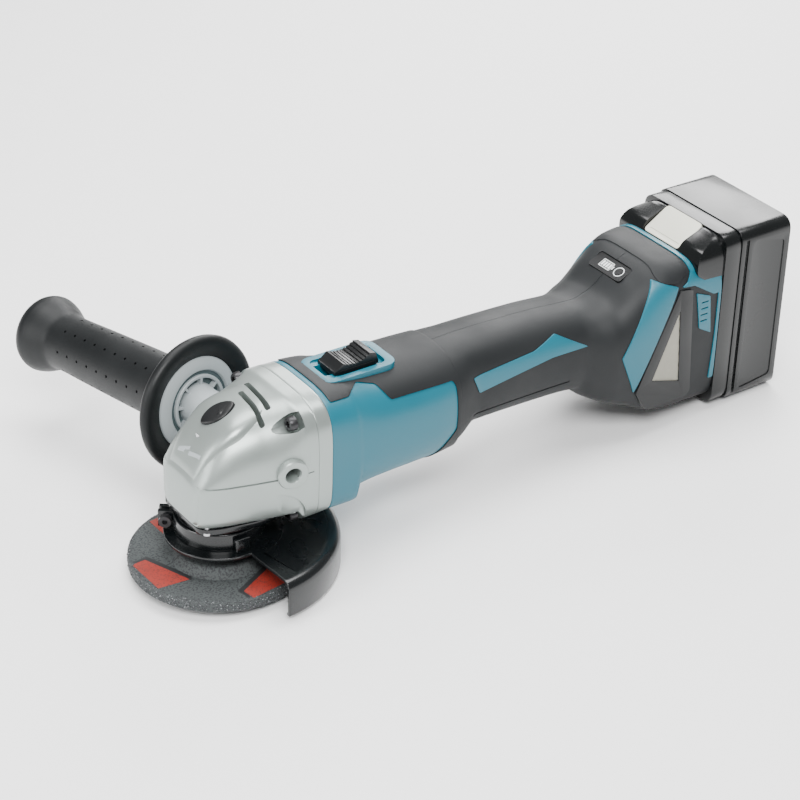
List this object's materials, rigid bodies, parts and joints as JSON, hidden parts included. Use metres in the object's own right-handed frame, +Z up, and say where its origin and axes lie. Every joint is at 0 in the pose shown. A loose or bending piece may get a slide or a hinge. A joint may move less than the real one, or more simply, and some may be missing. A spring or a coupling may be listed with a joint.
{
  "type": "angle grinder",
  "caption": "Cordless angle grinder with bevel gear head, depressed-centre wheel in a swivelling half guard, side handle, slim grip with slide switch, and slide-on battery.",
  "frame": {"origin": "centre of the free end face of the spindle, on the wheel's axis", "axes": "+Z up along the spindle away from the wheel, +X along the motor axis from the gear head to the battery, side handle on +Y"},
  "size_m": [0.413, 0.2612, 0.1255],
  "materials": {
    "silver_paint": "satin paint",
    "black_metal": "gloss",
    "steel": "satin",
    "core_steel": "matt",
    "copper": "satin",
    "brass": "satin",
    "board": "satin",
    "abrasive": "coarse",
    "black_plastic": "fine texture",
    "grip_rubber": "soft matt",
    "grey_plastic": "satin",
    "teal_plastic": "satin",
    "mesh": "woven",
    "controller_case": "matt",
    "wire": "matt",
    "battery_black": "gloss",
    "cell_wrap": "satin",
    "cream_plastic": "satin"
  },
  "bodies": {
    "tool": {"gear_housing": "silver_paint", "gear_housing_cover": "silver_paint", "gear_housing_screws": "steel", "bearing_box": "black_metal", "bearing_box_screws": "steel", "shaft_lock_spring": "steel", "spindle_bearing": "steel", "spindle_top_bearing": "steel", "motor_front_bearing": "steel", "motor_rear_bearing": "steel", "stator": "core_steel", "stator_coils": "copper", "sensor_board": "board", "baffle_plate": "black_plastic", "side_handle_stud": "steel", "side_handle_core": "grey_plastic", "side_handle_grip": "grip_rubber", "motor_housing": "teal_plastic", "switch_bezel": "teal_plastic", "switch_spring": "steel", "switch_unit": "black_plastic", "handle_left": "grip_rubber", "handle_right": "grip_rubber", "handle_screws": "steel", "accent_stripes": "teal_plastic", "side_trims": "teal_plastic", "dust_cover_frames": "black_plastic", "dust_cover_meshes": "mesh", "controller": "controller_case", "motor_wires": "wire", "terminal_block": "black_plastic", "terminal_blades": "brass", "indicator_panel": "black_plastic"},
    "spindle": {"spindle": "steel", "ring_gear": "steel", "inner_flange": "steel", "grinding_wheel": "abrasive", "lock_nut": "steel"},
    "rotor": {"pinion": "steel", "rotor_shaft": "steel", "rotor_core": "core_steel", "fan": "black_plastic"},
    "guard": {"wheel_guard": "black_metal", "guard_clamp_band": "black_metal", "guard_clamp_screw": "steel"},
    "shaft_lock": {"shaft_lock_button": "black_plastic", "shaft_lock_pin": "steel"},
    "switch_slider": {"switch_knob": "black_plastic", "switch_link": "black_plastic"},
    "battery": {"battery_front_case": "battery_black", "battery_rear_case": "battery_black", "battery_screws": "steel", "battery_cells": "cell_wrap", "cell_holder": "black_plastic", "battery_board": "board", "release_spring": "steel"},
    "battery_release": {"release_button": "cream_plastic", "latch": "black_plastic"},
    "charge_check": {"check_button": "black_plastic"}
  },
  "joints": [
    {"name": "wheel_spin", "type": "hinge", "parent": "tool", "child": "spindle", "pos_m": [0, 0, 0], "axis": [0, 0, 1], "continuous": true},
    {"name": "rotor_spin", "type": "hinge", "parent": "tool", "child": "rotor", "pos_m": [0, 0, 0.0614], "axis": [1, 0, 0], "continuous": true},
    {"name": "guard_swivel", "type": "hinge", "parent": "tool", "child": "guard", "pos_m": [0, 0, 0], "axis": [0, 0, 1], "range_deg": [-60, 40]},
    {"name": "shaft_lock_press", "type": "slide", "parent": "tool", "child": "shaft_lock", "axis": [0, 0, -1], "range_m": [0, 0.0024], "stiffness_N_per_m": 900, "springref_m": -0.001, "deforming": ["shaft_lock_spring"]},
    {"name": "switch_slide", "type": "slide", "parent": "tool", "child": "switch_slider", "axis": [-1, 0, 0], "range_m": [0, 0.007], "stiffness_N_per_m": 500, "springref_m": -0.002},
    {"name": "battery_slide", "type": "slide", "parent": "tool", "child": "battery", "axis": [0, 0, 1], "range_m": [0, 0.09]},
    {"name": "battery_release_press", "type": "slide", "parent": "battery", "child": "battery_release", "axis": [0.5299, 0, -0.848], "range_m": [0, 0.0025], "stiffness_N_per_m": 1200, "springref_m": -0.001, "deforming": ["release_spring"]},
    {"name": "charge_check_press", "type": "slide", "parent": "tool", "child": "charge_check", "axis": [0.4384, 0, -0.8988], "range_m": [0, 0.0006], "stiffness_N_per_m": 1500, "springref_m": -0.0005}
  ],
  "couplings": [
    {"joint": "rotor_spin", "follows": "wheel_spin", "ratio": 3.2}
  ]
}
